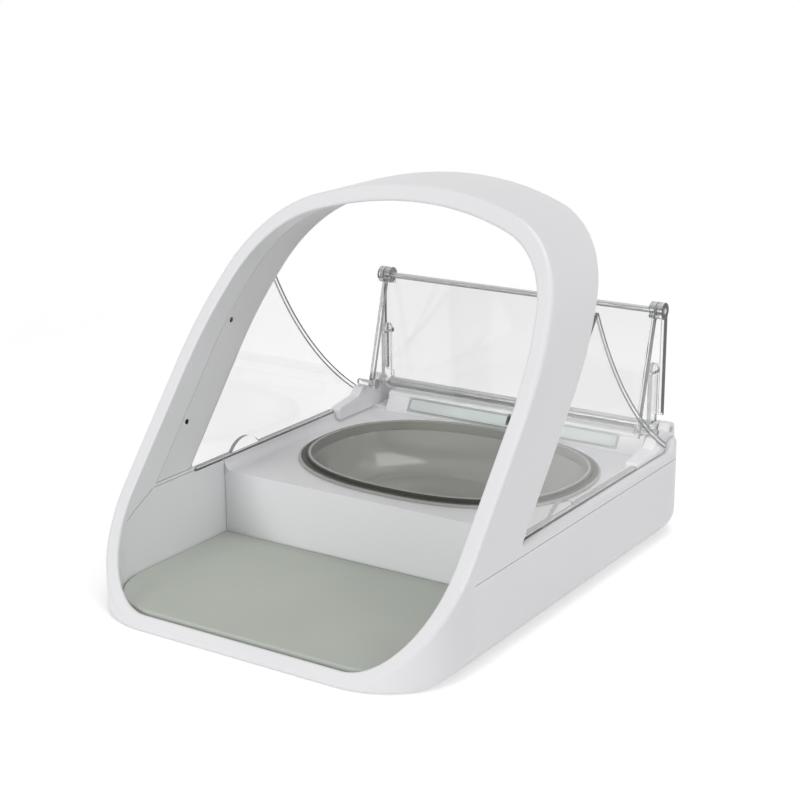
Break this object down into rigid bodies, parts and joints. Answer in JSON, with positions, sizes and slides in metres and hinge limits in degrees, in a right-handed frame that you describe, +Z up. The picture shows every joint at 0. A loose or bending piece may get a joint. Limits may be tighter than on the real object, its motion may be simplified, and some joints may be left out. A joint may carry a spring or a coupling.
{
  "type": "microchip pet feeder",
  "caption": "Pet feeder with a leaning entrance arch that reads a microchip, a folding clear lid that covers a lift-out bowl, clear side screens and a soft feeding mat.",
  "frame": {"origin": "on the table under the middle of the casing's plan", "axes": "+Z up, +Y from the entrance to the rear, +X to the right seen from the entrance"},
  "size_m": [0.233, 0.314, 0.223],
  "materials": {
    "lower_casing": "gloss white moulded ABS",
    "upper_casing": "gloss white moulded ABS",
    "arch_liner": "gloss white moulded ABS",
    "drive_cover": "gloss white moulded ABS",
    "service_panel": "moulded polycarbonate, faint green-grey tint",
    "hinge_housing_left": "gloss white moulded ABS",
    "hinge_housing_right": "gloss white moulded ABS",
    "side_screen_left": "clear injection-moulded acrylic, polished",
    "side_screen_right": "clear injection-moulded acrylic, polished",
    "lid_rear_leaf": "clear injection-moulded acrylic, polished",
    "lid_front_leaf": "clear injection-moulded acrylic, polished",
    "lid_fold_rod": "drawn aluminium rod, satin",
    "lid_hinge_shaft": "ground steel rod",
    "lid_arm_left": "satin pale grey moulded acetal",
    "lid_arm_right": "satin pale grey moulded acetal",
    "lid_arm_rivets": "turned steel pins",
    "gear_sector": "natural moulded acetal",
    "drive_pinion": "natural moulded acetal",
    "drive_motor": "drawn steel can with a zinc gearbox",
    "bowl": "gloss grey-green moulded ABS",
    "bowl_seal": "moulded dark elastomer",
    "feeding_mat": "matt sage-grey moulded elastomer",
    "antenna_coil": "enamelled copper winding",
    "ir_sensors": "dark moulded lens resin",
    "circuit_board": "solder-masked glass-epoxy laminate",
    "button_board": "solder-masked glass-epoxy laminate",
    "learn_button": "satin grey moulded ABS",
    "open_button": "satin grey moulded ABS",
    "status_light": "diffusing moulded polycarbonate",
    "delay_switch": "black moulded acetal",
    "battery_cells": "printed-sleeve steel cans, left plain",
    "battery_contacts": "nickel-plated spring steel",
    "battery_door_left": "gloss white moulded ABS",
    "battery_door_right": "gloss white moulded ABS",
    "rubber_feet": "moulded dark elastomer",
    "casing_screws": "zinc-plated steel"
  },
  "bodies": {
    "casing": {"lower_casing": "lower_casing", "upper_casing": "upper_casing", "arch_liner": "arch_liner", "drive_cover": "drive_cover", "service_panel": "service_panel", "hinge_housing_left": "hinge_housing_left", "hinge_housing_right": "hinge_housing_right", "side_screen_left": "side_screen_left", "side_screen_right": "side_screen_right", "drive_motor": "drive_motor", "antenna_coil": "antenna_coil", "ir_sensors": "ir_sensors", "circuit_board": "circuit_board", "button_board": "button_board", "status_light": "status_light", "battery_cells": "battery_cells", "battery_contacts": "battery_contacts", "rubber_feet": "rubber_feet", "casing_screws": "casing_screws"},
    "lid_rear": {"lid_rear_leaf": "lid_rear_leaf", "lid_arm_left": "lid_arm_left", "lid_arm_right": "lid_arm_right", "lid_arm_rivets": "lid_arm_rivets", "lid_hinge_shaft": "lid_hinge_shaft", "gear_sector": "gear_sector", "lid_fold_rod": "lid_fold_rod"},
    "lid_front": {"lid_front_leaf": "lid_front_leaf"},
    "pinion": {"drive_pinion": "drive_pinion"},
    "food_bowl": {"bowl": "bowl", "bowl_seal": "bowl_seal"},
    "mat": {"feeding_mat": "feeding_mat"},
    "learn_key": {"learn_button": "learn_button"},
    "open_key": {"open_button": "open_button"},
    "delay_slider": {"delay_switch": "delay_switch"},
    "door_left": {"battery_door_left": "battery_door_left"},
    "door_right": {"battery_door_right": "battery_door_right"}
  },
  "joints": [
    {"name": "lid_hinge", "type": "hinge", "parent": "casing", "child": "lid_rear", "pos_m": [0, 0.1385, 0.065], "axis": [1, 0, 0], "range_deg": [0, 90]},
    {"name": "lid_fold", "type": "hinge", "parent": "lid_rear", "child": "lid_front", "pos_m": [0, 0.1385, 0.1385], "axis": [1, 0, 0], "range_deg": [-165, 0]},
    {"name": "pinion_turn", "type": "hinge", "parent": "casing", "child": "pinion", "pos_m": [0, 0.1385, 0.051], "axis": [1, 0, 0], "range_deg": [-162, 0]},
    {"name": "bowl_lift", "type": "slide", "parent": "casing", "child": "food_bowl", "axis": [0, 0, 1], "range_m": [0, 0.008]},
    {"name": "mat_lift", "type": "slide", "parent": "casing", "child": "mat", "axis": [0, 0, 1], "range_m": [0, 0.03]},
    {"name": "learn_press", "type": "slide", "parent": "casing", "child": "learn_key", "axis": [0, -1, 0], "range_m": [0, 0.0012], "stiffness_N_per_m": 400, "springref_m": -0.0005},
    {"name": "open_press", "type": "slide", "parent": "casing", "child": "open_key", "axis": [0, -1, 0], "range_m": [0, 0.0012], "stiffness_N_per_m": 400, "springref_m": -0.0005},
    {"name": "delay_slide", "type": "slide", "parent": "casing", "child": "delay_slider", "axis": [1, 0, 0], "range_m": [-0.004, 0.004]},
    {"name": "door_left_slide", "type": "slide", "parent": "casing", "child": "door_left", "axis": [0, 1, 0], "range_m": [0, 0.028]},
    {"name": "door_right_slide", "type": "slide", "parent": "casing", "child": "door_right", "axis": [0, 1, 0], "range_m": [0, 0.028]}
  ],
  "couplings": [
    {"joint": "lid_fold", "follows": "lid_hinge", "ratio": -1.8333},
    {"joint": "pinion_turn", "follows": "lid_hinge", "ratio": -1.8}
  ]
}
